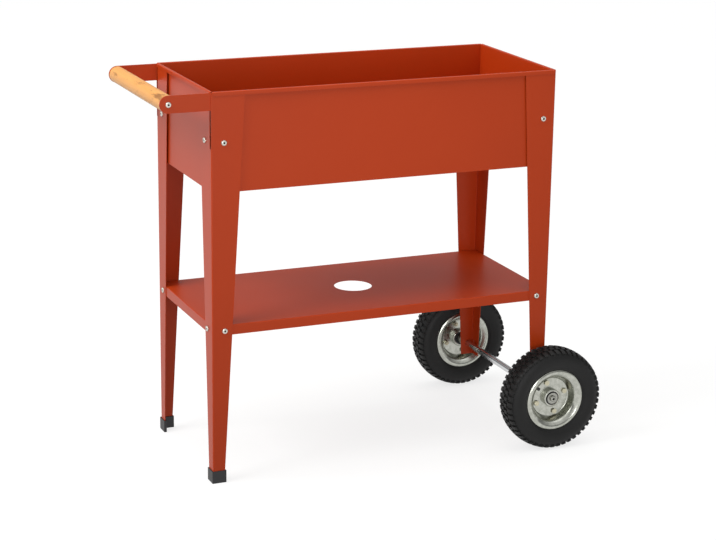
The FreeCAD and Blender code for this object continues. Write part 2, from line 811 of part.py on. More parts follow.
def make_tyre():
    """A tyre: bulging walls, a rounded crown, three rows of lugs and a hollow for its tube."""
    body = new_body("front_tyre")
    at_wheel(body)
    bead = rim_width / 2 - rim_flange_width
    heel = rim_width / 2 - rim_sheet - tyre_bead_gap
    half = tyre_width / 2
    shoulder = tyre_shoulder / 2
    shoulder_radius = tyre_root - lug_height
    crown_centre = tyre_root - (shoulder * shoulder + lug_height * lug_height) / (lug_height * 2)
    flange_radius = bead_radius + rim_flange_width
    outline(new_sketch(body, "XY_Plane"), [
        (bead_radius, -bead),
        (flange_radius, -heel),
        (rim_radius, -heel),
        (belly_radius, -half),
        (shoulder_radius, -shoulder),
        (shoulder_radius, shoulder),
        (belly_radius, half),
        (rim_radius, heel),
        (flange_radius, heel),
        (bead_radius, bead),
        (bead_radius, bead - tyre_wall),
        (rim_radius, heel - tyre_wall / 2),
        (belly_radius, hollow_half),
        (hollow_radius, shoulder - tyre_wall),
        (hollow_radius, -shoulder + tyre_wall),
        (belly_radius, -hollow_half),
        (rim_radius, -heel + tyre_wall / 2),
        (bead_radius, -bead + tyre_wall),
    ], {
        2: (belly_radius, 1),
        3: (belly_radius, 1),
        4: (crown_centre, 1),
        5: (belly_radius, 1),
        6: (belly_radius, 1),
        11: (belly_radius, -1),
        12: (belly_radius, -1),
        14: (belly_radius, -1),
        15: (belly_radius, -1),
    })
    revolve(body, body.Group[0])
    lug_foot = hollow_radius + tyre_bead_gap
    lug_sketch = new_sketch(body, "XY_Plane", lug_foot)
    half_lug = lug_length / 2
    middle = shoulder / 2 - lug_groove
    rectangle(lug_sketch, -half_lug, -middle, half_lug, middle)
    outer_start = middle + lug_groove
    outer_end = shoulder + lug_overhang
    rectangle(lug_sketch, -half_lug, outer_start, half_lug, outer_end)
    rectangle(lug_sketch, -half_lug, -outer_end, half_lug, -outer_start)
    lugs = pad(body, lug_sketch, tyre_radius - lug_foot)
    polar(body, lugs, lug_count)
    mirrored(body, "back_tyre")


def make_inner_tubes():
    """The inflated tube inside each tyre, with its valve stem pointing inwards, and the valve's cap."""
    ring = doc.addObject("Part::Torus", "tube_ring")
    bind(ring, Radius1=tube_ring_radius, Radius2=tube_radius)
    put(ring, rotation=TURNS["+y"])
    air = doc.addObject("Part::Torus", "tube_air")
    bind(air, Radius1=tube_ring_radius, Radius2=tube_radius - tube_wall)
    put(air, rotation=TURNS["+y"])
    stem_start = tube_ring_radius - (tube_radius * tube_radius - valve_offset * valve_offset).root()
    stem_root = stem_start + tube_wall / 2
    stem_end = stem_start - valve_length
    stem = rod(valve_radius, stem_root - stem_end, (0, -valve_offset, -stem_root))
    both_wheels(fuse(cut(ring, air), turned(stem, valve_turn.value)), "inner_tube")
    cap = rod(valve_cap_radius, valve_cap_length, (0, -valve_offset, -stem_end))
    both_wheels(group([turned(cap, valve_turn.value)]), "valve_cap")


def make_bearings():
    """Two ball bearings back to back in each wheel: the inner rings stay on the axle."""
    inner_outside = axle_radius + bearing_ring
    outer_inside = bearing_radius - bearing_ring
    shield_inside = inner_outside + bearing_shield / 2
    shield_face = bearing_shield / 2
    outer_rings = []
    inner_rings = []
    balls = []
    for start in (-bearing_width, as_size(0)):
        blank = rod(bearing_radius, bearing_width, (0, start, 0), "+y")
        bore = rod(shield_inside, bearing_width, (0, start, 0), "+y")
        race_start = start + shield_face + bearing_shield
        race_width = bearing_width - shield_face * 2 - bearing_shield * 2
        race = rod(outer_inside, race_width, (0, race_start, 0), "+y")
        near_recess = rod(outer_inside, shield_face, (0, start, 0), "+y")
        far_recess = rod(outer_inside, shield_face, (0, start + bearing_width - shield_face, 0), "+y")
        outer_rings.append(cut(blank, bore, race, near_recess, far_recess))
        ring = rod(inner_outside, bearing_width, (0, start, 0), "+y")
        hole = rod(axle_radius + bearing_play, bearing_width, (0, start, 0), "+y")
        inner_rings.append(cut(ring, hole))

        def one_ball():
            ball = doc.addObject("Part::Sphere", "ball")
            bind(ball, Radius=(outer_inside - inner_outside) / 2 - bearing_play)
            put(ball, (outer_inside + inner_outside) / 2, start + bearing_width / 2, 0)
            return ball

        balls.append(ring_of(one_ball, bearing_balls))
    both_wheels(group(outer_rings), "bearing_outer_rings")
    both_wheels(group(inner_rings), "bearing_inner_rings")
    both_wheels(group(balls), "bearing_balls")


def make_axle():
    """The axle with tapped ends, and what holds each wheel on it: spacer tube, washer and bolt."""
    body = new_body("axle")
    put(body, x=tray_x + axle_x, z=tyre_radius)
    end = wheel_y + bearing_width - axle_end_gap
    thread_end = end - tapped_depth
    thread = tapped_radius + tapped_clearance
    outline(new_sketch(body, "XY_Plane"), [
        (0, -thread_end),
        (thread, -thread_end),
        (thread, -end),
        (axle_radius, -end),
        (axle_radius, end),
        (thread, end),
        (thread, thread_end),
        (0, thread_end),
    ])
    revolve(body, body.Group[0])
    tube_length = wheel_y - bearing_width - leg_outer_y
    tube = rod(spacer_tube_radius, tube_length, (0, bearing_width, 0), "+y")
    bore = rod(axle_radius + bearing_play, tube_length, (0, bearing_width, 0), "+y")
    both_wheels(cut(tube, bore), "wheel_spacer")
    face = -bearing_width
    washer = rod(end_washer_radius, end_washer_sheet, (0, face, 0), "-y")
    washer_hole = rod(tapped_radius + bolt_clearance, end_washer_sheet, (0, face, 0), "-y")
    both_wheels(cut(washer, washer_hole), "wheel_washer")
    seat = face - end_washer_sheet
    head = button_head(end_bolt_radius, end_bolt_head, end_bolt_round, end_socket_width, end_socket_depth)
    end_bolt = fuse(head, rod(tapped_radius, end_bolt_length))
    put(end_bolt, y=seat, rotation=TURNS["+y"])
    both_wheels(group([end_bolt]), "wheel_bolt")


make_side_panel()
make_end_panel("tray_handle_panel", -1)
make_end_panel("tray_wheel_panel", 1)
make_tray_floor()
make_long_leg()
make_short_leg()
make_shelf()
make_arms()
make_grip()
make_leg_bolts()
make_foot_caps()
make_rims()
make_rim_bolts()
make_tyre()
make_inner_tubes()
make_bearings()
make_axle()
doc.recompute()

for item in doc.Objects:
    if "Invalid" in item.State or "Error" in item.State:
        raise RuntimeError("%s failed: %s" % (item.Label, item.State))
for item in nodes:
    if item.Shape.isNull() or not item.Shape.isValid():
        raise RuntimeError("%s has no valid shape" % item.Label)

os.makedirs("parts", exist_ok=True)
for item in nodes:
    item.Shape.exportStep("parts/%s.step" % item.Label)
    print(item.Label, len(item.Shape.Solids), round(item.Shape.Volume))
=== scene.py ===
import math

import bmesh
import bpy
from mathutils import Matrix, Vector


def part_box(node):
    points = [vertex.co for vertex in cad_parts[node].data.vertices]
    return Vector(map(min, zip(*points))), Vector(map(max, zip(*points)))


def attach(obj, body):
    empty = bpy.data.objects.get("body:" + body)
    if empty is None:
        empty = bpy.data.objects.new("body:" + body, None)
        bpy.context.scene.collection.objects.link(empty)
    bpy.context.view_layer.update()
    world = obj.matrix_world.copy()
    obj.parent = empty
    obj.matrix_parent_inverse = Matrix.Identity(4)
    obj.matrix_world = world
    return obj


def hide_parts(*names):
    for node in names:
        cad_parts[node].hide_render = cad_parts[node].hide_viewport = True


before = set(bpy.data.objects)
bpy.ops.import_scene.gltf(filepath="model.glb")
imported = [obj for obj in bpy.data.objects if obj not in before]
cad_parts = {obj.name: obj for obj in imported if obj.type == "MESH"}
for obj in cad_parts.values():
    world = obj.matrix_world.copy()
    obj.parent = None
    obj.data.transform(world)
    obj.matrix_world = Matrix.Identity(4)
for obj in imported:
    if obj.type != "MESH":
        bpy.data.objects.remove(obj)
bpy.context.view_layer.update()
bpy.ops.object.select_all(action="DESELECT")

# Tray
# Four walls of sheet steel round a flat floor sheet. Each wall's top turns out and then down as a rim.
# The rims stop short of the corners, so that the bends of the legs and the handle arms can rise between them.
tray_sheet = 0.001
rim_drop = 0.008
side_rim_spare = 0.0025
end_rim_spare = 0.001
tray_bend = 0.0018
sheet_edge = 0.00025
same_place = 0.0001
sharp_turn = math.radians(40)
smooth_turn = math.radians(35)
hole_sides = 64


def start_piece(name):
    """Name the primitive that was just added, put its place into its mesh and open it for editing."""
    piece = bpy.context.object
    piece.name = name
    piece.data.name = name
    bpy.ops.object.transform_apply(location=True, rotation=True, scale=True)
    bpy.ops.object.mode_set(mode="EDIT")
    return piece


def pick(piece, kind, test):
    """In edit mode, select only the faces, edges or points that pass a test."""
    bpy.ops.mesh.select_mode(type=kind)
    bpy.ops.mesh.select_all(action="DESELECT")
    shape = bmesh.from_edit_mesh(piece.data)
    parts = {"FACE": shape.faces, "EDGE": shape.edges, "VERT": shape.verts}[kind]
    chosen = [part for part in parts if test(part)]
    for part in chosen:
        part.select_set(True)
    shape.select_flush_mode()
    bmesh.update_edit_mesh(piece.data)


def close_to(first, second):
    """Whether two lengths are the same to a tenth of a millimetre."""
    return abs(first - second) < same_place


def edge_at(axis, place):
    """A test for edges that lie in one plane across an axis."""
    return lambda edge: all(close_to(point.co[axis], place) for point in edge.verts)


def bent(edge):
    """A test for edges where the sheet turns."""
    return len(edge.link_faces) == 2 and edge.calc_face_angle() > sharp_turn


def push(x, y, z):
    """Draw the selected edge or face out into new faces."""
    bpy.ops.mesh.extrude_region_move(TRANSFORM_OT_translate={"value": (x, y, z)})


def move(x, y, z):
    """Shift the selected points."""
    bpy.ops.transform.translate(value=(x, y, z))


def modify(piece, kind, **settings):
    """Add a modifier to a piece and apply it."""
    bpy.context.view_layer.objects.active = piece
    modifier = piece.modifiers.new(kind.lower(), kind)
    for name, value in settings.items():
        setattr(modifier, name, value)
    bpy.ops.object.modifier_apply(modifier=modifier.name)


def ease(piece, width, segments=2):
    """Round a piece's sharp edges a little."""
    modify(piece, "BEVEL", width=width, segments=segments, limit_method="ANGLE", angle_limit=sharp_turn)


def thicken(piece, sheet, outside, outwards=False):
    """Give a sheet in edit mode its wall, with its faces turned to the side that a direction leads to."""
    bpy.ops.mesh.select_all(action="SELECT")
    bpy.ops.mesh.normals_make_consistent(inside=False)
    shape = bmesh.from_edit_mesh(piece.data)
    if sum(face.normal.dot(outside) * face.calc_area() for face in shape.faces) < 0:
        bpy.ops.mesh.flip_normals()
    bpy.ops.object.mode_set(mode="OBJECT")
    modify(piece, "SOLIDIFY", thickness=sheet, offset=1 if outwards else -1, use_even_offset=True)


def drill(piece, radius, depth, place, turn=(0, 0, 0)):
    """Cut a round hole through a piece."""
    bpy.ops.mesh.primitive_cylinder_add(vertices=hole_sides, radius=radius, depth=depth, location=place,
                                        rotation=turn)
    cutter = bpy.context.object
    modify(piece, "BOOLEAN", operation="DIFFERENCE", object=cutter, solver="EXACT")
    bpy.data.objects.remove(cutter)


def set_off(piece, body, node, finish):
    """Give a finished piece its look, and let it stand for its node and ride on its body."""
    bpy.ops.object.select_all(action="DESELECT")
    piece.select_set(True)
    bpy.context.view_layer.objects.active = piece
    bpy.ops.object.shade_smooth_by_angle(angle=smooth_turn)
    modify(piece, "WEIGHTED_NORMAL", keep_sharp=True)
    piece.data.materials.clear()
    piece.data.materials.append(finish)
    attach(piece, body)
    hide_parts(node)
    piece.select_set(False)


def linear(hex_text):
    """A colour written in sRGB, as the shader wants it."""
    channels = [int(hex_text[start:start + 2], 16) / 255 for start in (1, 3, 5)]
    return (*(c / 12.92 if c <= 0.04045 else ((c + 0.055) / 1.055) ** 2.4 for c in channels), 1.0)


def add_node(tree, kind, inputs=None, **settings):
    """Add a node with its settings, and link or set its inputs."""
    made = tree.nodes.new(kind)
    for name, value in settings.items():
        setattr(made, name, value)
    for socket, value in (inputs or {}).items():
        if isinstance(value, bpy.types.NodeSocket):
            tree.links.new(value, made.inputs[socket])
        else:
            made.inputs[socket].default_value = value
    return made


def new_finish(name):
    """An empty material: its node tree, its shader and the object's own coordinates."""
    finish = bpy.data.materials.new(name)
    finish.use_nodes = True
    tree = finish.node_tree
    shader = tree.nodes["Principled BSDF"]
    place = add_node(tree, "ShaderNodeTexCoord").outputs["Object"]
    return finish, tree, shader, place


def between(tree, factor, low, high):
    """Spread a pattern's values over a range."""
    spread = add_node(tree, "ShaderNodeMapRange", {"Value": factor, "To Min": low, "To Max": high})
    return spread.outputs["Result"]


# Powder-coated steel: the baked powder is satin, with a faint orange peel about 2 mm across.
# Its tone drifts slightly over a panel, and its gloss is a little uneven.
def make_powder_coat():
    finish, tree, shader, place = new_finish("powder_coated_steel")
    peel_size = 0.0022
    drift_size = 0.16
    drift = add_node(tree, "ShaderNodeTexNoise", {"Vector": place, "Scale": 1 / drift_size, "Detail": 3})
    tone = add_node(tree, "ShaderNodeMix", {"Factor": drift.outputs["Fac"], "A": linear("#B6390A"),
                                            "B": linear("#BC3E0F")}, data_type="RGBA")
    peel = add_node(tree, "ShaderNodeTexNoise", {"Vector": place, "Scale": 1 / peel_size, "Detail": 1})
    bump = add_node(tree, "ShaderNodeBump", {"Height": peel.outputs["Fac"], "Strength": 0.12,
                                             "Distance": 0.0004})
    tree.links.new(tone.outputs["Result"], shader.inputs["Base Color"])
    tree.links.new(between(tree, drift.outputs["Fac"], 0.36, 0.44), shader.inputs["Roughness"])
    tree.links.new(bump.outputs["Normal"], shader.inputs["Normal"])
    shader.inputs["Specular IOR Level"].default_value = 0.28
    return finish


powder_coat = make_powder_coat()


def make_panel(node, name, axis, side):
    """One wall of the tray, across an axis. Its inner face carries on over the rim and down the lip."""
    low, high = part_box(node)
    size = high - low
    spare = side_rim_spare if axis == 1 else end_rim_spare
    along = 1 - axis
    middle = (low + high) / 2
    middle[axis] = low[axis] if side > 0 else high[axis]
    upright = [0, 0, 0]
    upright[along] = math.radians(90)
    bpy.ops.mesh.primitive_plane_add(size=1, location=middle, rotation=upright)
    wall_size = size.copy()
    wall_size[along] -= spare * 2
    bpy.ops.transform.resize(value=wall_size)
    panel = start_piece(name)
    pick(panel, "EDGE", edge_at(2, high.z))
    outward = Vector((0, 0, 0))
    outward[axis] = side * size[axis]
    push(*outward)
    stretch = Vector((1, 1, 1))
    stretch[along] = size[along] / wall_size[along]
    bpy.ops.transform.resize(value=stretch, center_override=middle)
    push(0, 0, -rim_drop)
    pick(panel, "EDGE", bent)
    bpy.ops.mesh.bevel(offset=tray_bend, segments=4, affect="EDGES")
    thicken(panel, tray_sheet, Vector((0, 0, 1)))
    ease(panel, sheet_edge)
    set_off(panel, "frame", node, powder_coat)


make_panel("tray_front_panel", "front_wall_panel", axis=1, side=-1)
make_panel("tray_back_panel", "back_wall_panel", axis=1, side=1)
make_panel("tray_handle_panel", "handle_end_panel", axis=0, side=-1)
make_panel("tray_wheel_panel", "wheel_end_panel", axis=0, side=1)


def dress(node, finish):
    """Give a node that is shown as it is a better look."""
    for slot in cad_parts[node].material_slots:
        slot.material = finish


dress("tray_floor_panel", powder_coat)

# Legs
# Each leg is one tapered strip of steel bent into an angle, bolted outside the tray's corner under the rim.
# The two at the handle are slit beside the bend for the arms, and the other two end just below the axle.
tray_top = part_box("tray_front_panel")[1].z
leg_sheet = 0.0015
leg_top_width = 0.070
leg_foot_width = 0.024
leg_bend = 0.0025
slit_foot = 0.688
slit_reach = 0.0085
axle_hole_radius = 0.0078
lock_hole_radius = 0.0023
lock_hole_inset = 0.0085
lock_hole_rise = 0.0055
hole_depth = 0.01


def flange_width(height):
    """How wide a leg's flange is at a height: it narrows evenly from the rim to the floor."""
    return leg_foot_width + (leg_top_width - leg_foot_width) * height / tray_top


def slice_at(place, normal):
    """Cut new edges into the whole piece along a plane."""
    bpy.ops.mesh.select_all(action="SELECT")
    bpy.ops.mesh.bisect(plane_co=place, plane_no=normal)


def make_leg(node, name, reach):
    """A front leg. Its front flange runs towards the wheels if reach is 1, and the other way if it is -1."""
    low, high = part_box(node)
    corner = Vector((low.x if reach > 0 else high.x, low.y, low.z))
    height = high.z - low.z
    top_width = flange_width(high.z)
    taper = top_width - flange_width(low.z)
    middle = corner + Vector((reach * top_width / 2, 0, height / 2))
    upright = (math.radians(90), 0, 0)
    bpy.ops.mesh.primitive_plane_add(size=1, location=middle, rotation=upright)
    bpy.ops.transform.resize(value=(top_width, 1, height))
    leg = start_piece(name)
    pick(leg, "VERT", lambda point: close_to(point.co.z, low.z) and not close_to(point.co.x, corner.x))
    move(-reach * taper, 0, 0)
    pick(leg, "EDGE", edge_at(0, corner.x))
    push(0, top_width, 0)
    pick(leg, "VERT", lambda point: close_to(point.co.z, low.z) and point.co.y > corner.y + leg_sheet)
    move(0, -taper, 0)
    if reach > 0:
        slice_at((0, 0, slit_foot), (0, 0, 1))
        slice_at((0, corner.y + slit_reach, 0), (0, 1, 0))
        pick(leg, "FACE", lambda face: face.calc_center_median().z > slit_foot
             and corner.y + leg_sheet < face.calc_center_median().y < corner.y + slit_reach)
        bpy.ops.mesh.delete(type="FACE")
    pick(leg, "EDGE", bent)
    bpy.ops.mesh.bevel(offset=leg_bend, segments=4, affect="EDGES")
    thicken(leg, leg_sheet, Vector((0, -1, 0)))
    ease(leg, sheet_edge)
    if reach < 0:
        axle_low, axle_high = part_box("axle")
        axle_middle = (axle_low + axle_high) / 2
        drill(leg, axle_hole_radius, hole_depth, (axle_middle.x, corner.y, axle_middle.z), upright)
        lock_place = (corner.x, corner.y + lock_hole_inset, axle_middle.z + lock_hole_rise)
        drill(leg, lock_hole_radius, hole_depth, lock_place, (0, math.radians(90), 0))
    return leg


def mirror_copy(piece, name):
    """A copy of a piece on the other side of the trolley, with a mesh of its own."""
    bpy.ops.object.select_all(action="DESELECT")
    piece.select_set(True)
    bpy.context.view_layer.objects.active = piece
    bpy.ops.object.duplicate()
    copy = bpy.context.object
    copy.name = name
    copy.data.name = name
    copy.scale.y = -1
    bpy.ops.object.transform_apply(location=True, rotation=True, scale=True)
    bpy.ops.object.mode_set(mode="EDIT")
    bpy.ops.mesh.select_all(action="SELECT")
    bpy.ops.mesh.normals_make_consistent(inside=False)
    bpy.ops.object.mode_set(mode="OBJECT")
    return copy


for place, reach in (("handle", 1), ("wheel", -1)):
    front_leg = make_leg("front_%s_leg" % place, "front_%s_angle_leg" % place, reach)
    back_leg = mirror_copy(front_leg, "back_%s_angle_leg" % place)
    set_off(front_leg, "frame", "front_%s_leg" % place, powder_coat)
    set_off(back_leg, "frame", "back_%s_leg" % place, powder_coat)

# Shelf
# A flat sheet with lips turned down all round, which stand inside the legs and are bolted to them.
# It has one round hole in the middle.
shelf_sheet = 0.0012
shelf_bend = 0.002
shelf_hole_radius = 0.040
shelf_low, shelf_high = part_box("shelf")
shelf_size = shelf_high - shelf_low
shelf_middle = (shelf_low + shelf_high) / 2
bpy.ops.mesh.primitive_cube_add(size=1, location=shelf_middle, scale=shelf_size)
shelf = start_piece("lower_shelf")
pick(shelf, "FACE", lambda face: close_to(face.normal.z, -1))
bpy.ops.mesh.delete(type="ONLY_FACE")
pick(shelf, "EDGE", bent)
bpy.ops.mesh.bevel(offset=shelf_bend, segments=4, affect="EDGES")
thicken(shelf, shelf_sheet, Vector((0, 0, 1)))
ease(shelf, sheet_edge)
drill(shelf, shelf_hole_radius, shelf_size.z, (shelf_middle.x, shelf_middle.y, shelf_high.z))
set_off(shelf, "frame", "shelf", powder_coat)

# Handle arms
# Two flat steel bars with a round end, cut from plate and coated like the rest.
# Each passes through its leg's slit and is clamped between the leg and the tray by the upper bolt.
arm_edge = 0.0005
merge_gap = 0.000002
flat_turn = math.radians(0.5)


def soften(node, name, width, segments=2):
    """A copy of a node with its triangles merged and its sharp edges eased."""
    piece = bpy.data.objects.new(name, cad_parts[node].data.copy())
    bpy.context.scene.collection.objects.link(piece)
    bpy.ops.object.select_all(action="DESELECT")
    piece.select_set(True)
    bpy.context.view_layer.objects.active = piece
    bpy.ops.mesh.customdata_custom_splitnormals_clear()
    bpy.ops.object.mode_set(mode="EDIT")
    bpy.ops.mesh.select_all(action="SELECT")
    bpy.ops.mesh.remove_doubles(threshold=merge_gap)
    bpy.ops.mesh.dissolve_limited(angle_limit=flat_turn)
    bpy.ops.object.mode_set(mode="OBJECT")
    ease(piece, width, segments)
    return piece


for side in ("front", "back"):
    arm = soften(side + "_handle_arm", side + "_handle_bar", arm_edge)
    set_off(arm, "frame", side + "_handle_arm", powder_coat)

# Handle grip
# A turned bar of pale hardwood between the arms, with eased ends and a clear satin oil.
# One screw through each arm holds it.
grip_edge = 0.0015
grip_sides = 64


# Oiled hardwood: fibres run along the bar as fine streaks, with wider bands of tone between them.
# A few brown mineral streaks and small knots break it up.
def make_oiled_wood():
    finish, tree, shader, place = new_finish("oiled_hardwood")
    fibre_width = 0.0016
    band_width = 0.011
    mark_width = 0.017
    fibre_stretch = 0.05
    mark_stretch = 0.22
    along = add_node(tree, "ShaderNodeMapping", {"Vector": place, "Scale": (1, fibre_stretch, 1)})
    fibres = add_node(tree, "ShaderNodeTexNoise", {"Vector": along.outputs["Vector"],
                                                   "Scale": 1 / fibre_width, "Detail": 4, "Roughness": 0.6})
    bands = add_node(tree, "ShaderNodeTexNoise", {"Vector": along.outputs["Vector"], "Scale": 1 / band_width,
                                                  "Detail": 2, "Distortion": 0.8})
    short = add_node(tree, "ShaderNodeMapping", {"Vector": place, "Scale": (1, mark_stretch, 1)})
    marks = add_node(tree, "ShaderNodeTexNoise", {"Vector": short.outputs["Vector"], "Scale": 1 / mark_width,
                                                  "Detail": 5, "Roughness": 0.62, "Distortion": 0.6})
    mark_share = add_node(tree, "ShaderNodeMapRange", {"Value": marks.outputs["Fac"], "From Min": 0.54,
                                                       "From Max": 0.68})
    pale = add_node(tree, "ShaderNodeMix", {"Factor": bands.outputs["Fac"], "A": linear("#F4B76C"),
                                            "B": linear("#E59E50")}, data_type="RGBA")
    streaked = add_node(tree, "ShaderNodeMix", {"Factor": between(tree, fibres.outputs["Fac"], 0.0, 0.5),
                                                "A": pale.outputs["Result"], "B": linear("#D08B42")},
                        data_type="RGBA")
    marked = add_node(tree, "ShaderNodeMix", {"Factor": mark_share.outputs["Result"],
                                              "A": streaked.outputs["Result"], "B": linear("#A06A33")},
                      data_type="RGBA")
    bump = add_node(tree, "ShaderNodeBump", {"Height": fibres.outputs["Fac"], "Strength": 0.15,
                                             "Distance": 0.0003})
    tree.links.new(marked.outputs["Result"], shader.inputs["Base Color"])
    tree.links.new(between(tree, fibres.outputs["Fac"], 0.38, 0.55), shader.inputs["Roughness"])
    tree.links.new(bump.outputs["Normal"], shader.inputs["Normal"])
    return finish


oiled_wood = make_oiled_wood()
grip_low, grip_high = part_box("handle_grip")
grip_size = grip_high - grip_low
bpy.ops.mesh.primitive_cylinder_add(vertices=grip_sides, radius=grip_size.z / 2, depth=grip_size.y,
                                    location=(grip_low + grip_high) / 2, rotation=(math.radians(90), 0, 0))
grip = start_piece("wooden_grip")
pick(grip, "EDGE", bent)
bpy.ops.mesh.bevel(offset=grip_edge, segments=3, affect="EDGES")
bpy.ops.object.mode_set(mode="OBJECT")
set_off(grip, "frame", "handle_grip", oiled_wood)

# Bolts, nuts and spacer rings
# Zinc-plated button-head bolts with a hexagon socket, one in each flange of a leg at the tray and the shelf.
# Nuts hold them inside, and rings fill the gap where a leg stands off the tray.
bolt_edge = 0.0003


# Zinc plate on steel: a metal with a slightly uneven gloss in spots about 3 mm across.
# Sockets and corners are darkened within about 4 mm: this is painted shade, not dirt.
# A piece alone gets the painted shade only in its own corners, and otherwise also where it stands on its
# neighbours.
def make_zinc(name, pale, dull, alone=True):
    finish, tree, shader, place = new_finish(name)
    spot_size = 0.003
    shade_reach = 0.004
    spots = add_node(tree, "ShaderNodeTexNoise", {"Vector": place, "Scale": 1 / spot_size, "Detail": 3})
    tone = add_node(tree, "ShaderNodeMix", {"Factor": spots.outputs["Fac"], "A": linear(pale),
                                            "B": linear(dull)}, data_type="RGBA")
    # Painted shade: ambient occlusion turns the base colour towards near-black in sockets and corners.
    occlusion = add_node(tree, "ShaderNodeAmbientOcclusion", {"Distance": shade_reach}, only_local=alone)
    unshaded = add_node(tree, "ShaderNodeMapRange", {"Value": occlusion.outputs["AO"], "From Min": 0.5,
                                                  "From Max": 0.9})
    painted_shade_tone = add_node(tree, "ShaderNodeMix", {"Factor": unshaded.outputs["Result"], "A": linear("#1E1C1A"),
                                             "B": tone.outputs["Result"]}, data_type="RGBA")
    tree.links.new(painted_shade_tone.outputs["Result"], shader.inputs["Base Color"])
    tree.links.new(between(tree, spots.outputs["Fac"], 0.2, 0.36), shader.inputs["Roughness"])
    shader.inputs["Metallic"].default_value = 1
    return finish


bright_zinc = make_zinc("bright_zinc_plate", "#DAD7CF", "#B9B6AD")
for node in ("tray_bolts", "shelf_bolts", "handle_screws"):
    heads = soften(node, "button_head_" + node, bolt_edge)
    set_off(heads, "frame", node, bright_zinc)
for node in ("tray_nuts", "shelf_nuts", "tray_spacers"):
    dress(node, bright_zinc)

# Foot caps
# Black moulded plastic caps with the leg's own angle shape.
# They are pushed onto the ends of the two long legs and stand on the floor.
cap_edge = 0.0008


# Moulded polyethylene: black with a fine spark-eroded grain about 1 mm across, which scatters its sheen.
def make_black_plastic():
    finish, tree, shader, place = new_finish("moulded_black_plastic")
    grain_size = 0.001
    grain = add_node(tree, "ShaderNodeTexNoise", {"Vector": place, "Scale": 1 / grain_size, "Detail": 2})
    bump = add_node(tree, "ShaderNodeBump", {"Height": grain.outputs["Fac"], "Strength": 0.25,
                                             "Distance": 0.0002})
    tone = add_node(tree, "ShaderNodeMix", {"Factor": grain.outputs["Fac"], "A": linear("#141415"),
                                            "B": linear("#222224")}, data_type="RGBA")
    tree.links.new(tone.outputs["Result"], shader.inputs["Base Color"])
    tree.links.new(between(tree, grain.outputs["Fac"], 0.42, 0.58), shader.inputs["Roughness"])
    tree.links.new(bump.outputs["Normal"], shader.inputs["Normal"])
    return finish


black_plastic = make_black_plastic()
for side in ("front", "back"):
    cap = soften(side + "_foot_cap", side + "_plastic_foot", cap_edge, segments=3)
    set_off(cap, "frame", side + "_foot_cap", black_plastic)

# Axle
# A straight bar of drawn steel with a bright zinc plate.
# It passes through the two short legs and has a tapped hole in each end.


# Drawn bar: smooth bright steel with hair-fine lines along its length, about 0.3 mm apart.
def make_drawn_steel():
    finish, tree, shader, place = new_finish("drawn_zinc_bar")
    line_gap = 0.0003
    line_stretch = 0.01
    along = add_node(tree, "ShaderNodeMapping", {"Vector": place, "Scale": (1, line_stretch, 1)})
    lines = add_node(tree, "ShaderNodeTexNoise", {"Vector": along.outputs["Vector"], "Scale": 1 / line_gap})
    tone = add_node(tree, "ShaderNodeMix", {"Factor": lines.outputs["Fac"], "A": linear("#DADBDC"),
                                            "B": linear("#C2C3C5")}, data_type="RGBA")
    tree.links.new(tone.outputs["Result"], shader.inputs["Base Color"])
    tree.links.new(between(tree, lines.outputs["Fac"], 0.14, 0.24), shader.inputs["Roughness"])
    shader.inputs["Metallic"].default_value = 1
    return finish


dress("axle", make_drawn_steel())

# Rims
# Each wheel has two halves pressed from steel sheet and bolted back to back, plated with zinc.
# A half has a cup for its bearing, a flat disc, a dished barrel and a rolled flange beside the tyre's bead.
rim_sheet = 0.0016
rim_bend = 0.003
cup_bend = 0.0006
cup_radius = 0.01755
cup_depth = 0.011
cup_lip = 0.0018
disc_radius = 0.0436
seat_radius = 0.0508
seat_depth = 0.0185
flange_radius = 0.0568
rim_radius = 0.0645
flange_depth = 0.0229
flange_crown = 0.0014
flange_steps = 8
valve_hole_radius = 0.0045
valve_offset = 0.009
valve_turn = math.radians(126)
pressed_turn = math.radians(12)
spin_gap = 0.00001


def turn(name, centre, profile, closed=False, steps=96):
    """Spin a profile of radius and distance along the axle about a wheel's centre."""
    places = [centre + Vector((radius, along, 0)) for radius, along in profile]
    bpy.ops.mesh.primitive_plane_add(size=0.001, location=places[0])
    piece = start_piece(name)
    bpy.ops.mesh.select_mode(type="VERT")
    bpy.ops.mesh.select_all(action="SELECT")
    bpy.ops.mesh.merge(type="CENTER")
    for here, there in zip(places, places[1:]):
        bpy.ops.mesh.extrude_vertices_move(TRANSFORM_OT_translate={"value": there - here})
    if closed:
        ends = (places[0], places[-1])
        pick(piece, "VERT", lambda point: any((point.co - end).length < spin_gap for end in ends))
        bpy.ops.mesh.edge_face_add()
    bpy.ops.mesh.select_all(action="SELECT")
    bpy.ops.mesh.spin(steps=steps, angle=math.radians(360), center=centre, axis=(0, 1, 0))
    bpy.ops.mesh.select_all(action="SELECT")
    bpy.ops.mesh.remove_doubles(threshold=spin_gap)
    return piece


# Galvanised pressing: bright zinc with cloudy patches about 8 mm across and a faint warm cast.
def make_galvanised():
    finish, tree, shader, place = new_finish("zinc_plated_pressing")
    patch_size = 0.008
    speck_size = 0.0015
    patches = add_node(tree, "ShaderNodeTexNoise", {"Vector": place, "Scale": 1 / patch_size, "Detail": 4,
                                                    "Roughness": 0.6})
    specks = add_node(tree, "ShaderNodeTexNoise", {"Vector": place, "Scale": 1 / speck_size, "Detail": 2})
    tone = add_node(tree, "ShaderNodeMix", {"Factor": patches.outputs["Fac"], "A": linear("#CFD0C8"),
                                            "B": linear("#8B8D83")}, data_type="RGBA")
    bump = add_node(tree, "ShaderNodeBump", {"Height": specks.outputs["Fac"], "Strength": 0.12,
                                             "Distance": 0.0003})
    tree.links.new(tone.outputs["Result"], shader.inputs["Base Color"])
    tree.links.new(between(tree, patches.outputs["Fac"], 0.14, 0.34), shader.inputs["Roughness"])
    tree.links.new(bump.outputs["Normal"], shader.inputs["Normal"])
    shader.inputs["Metallic"].default_value = 1
    return finish


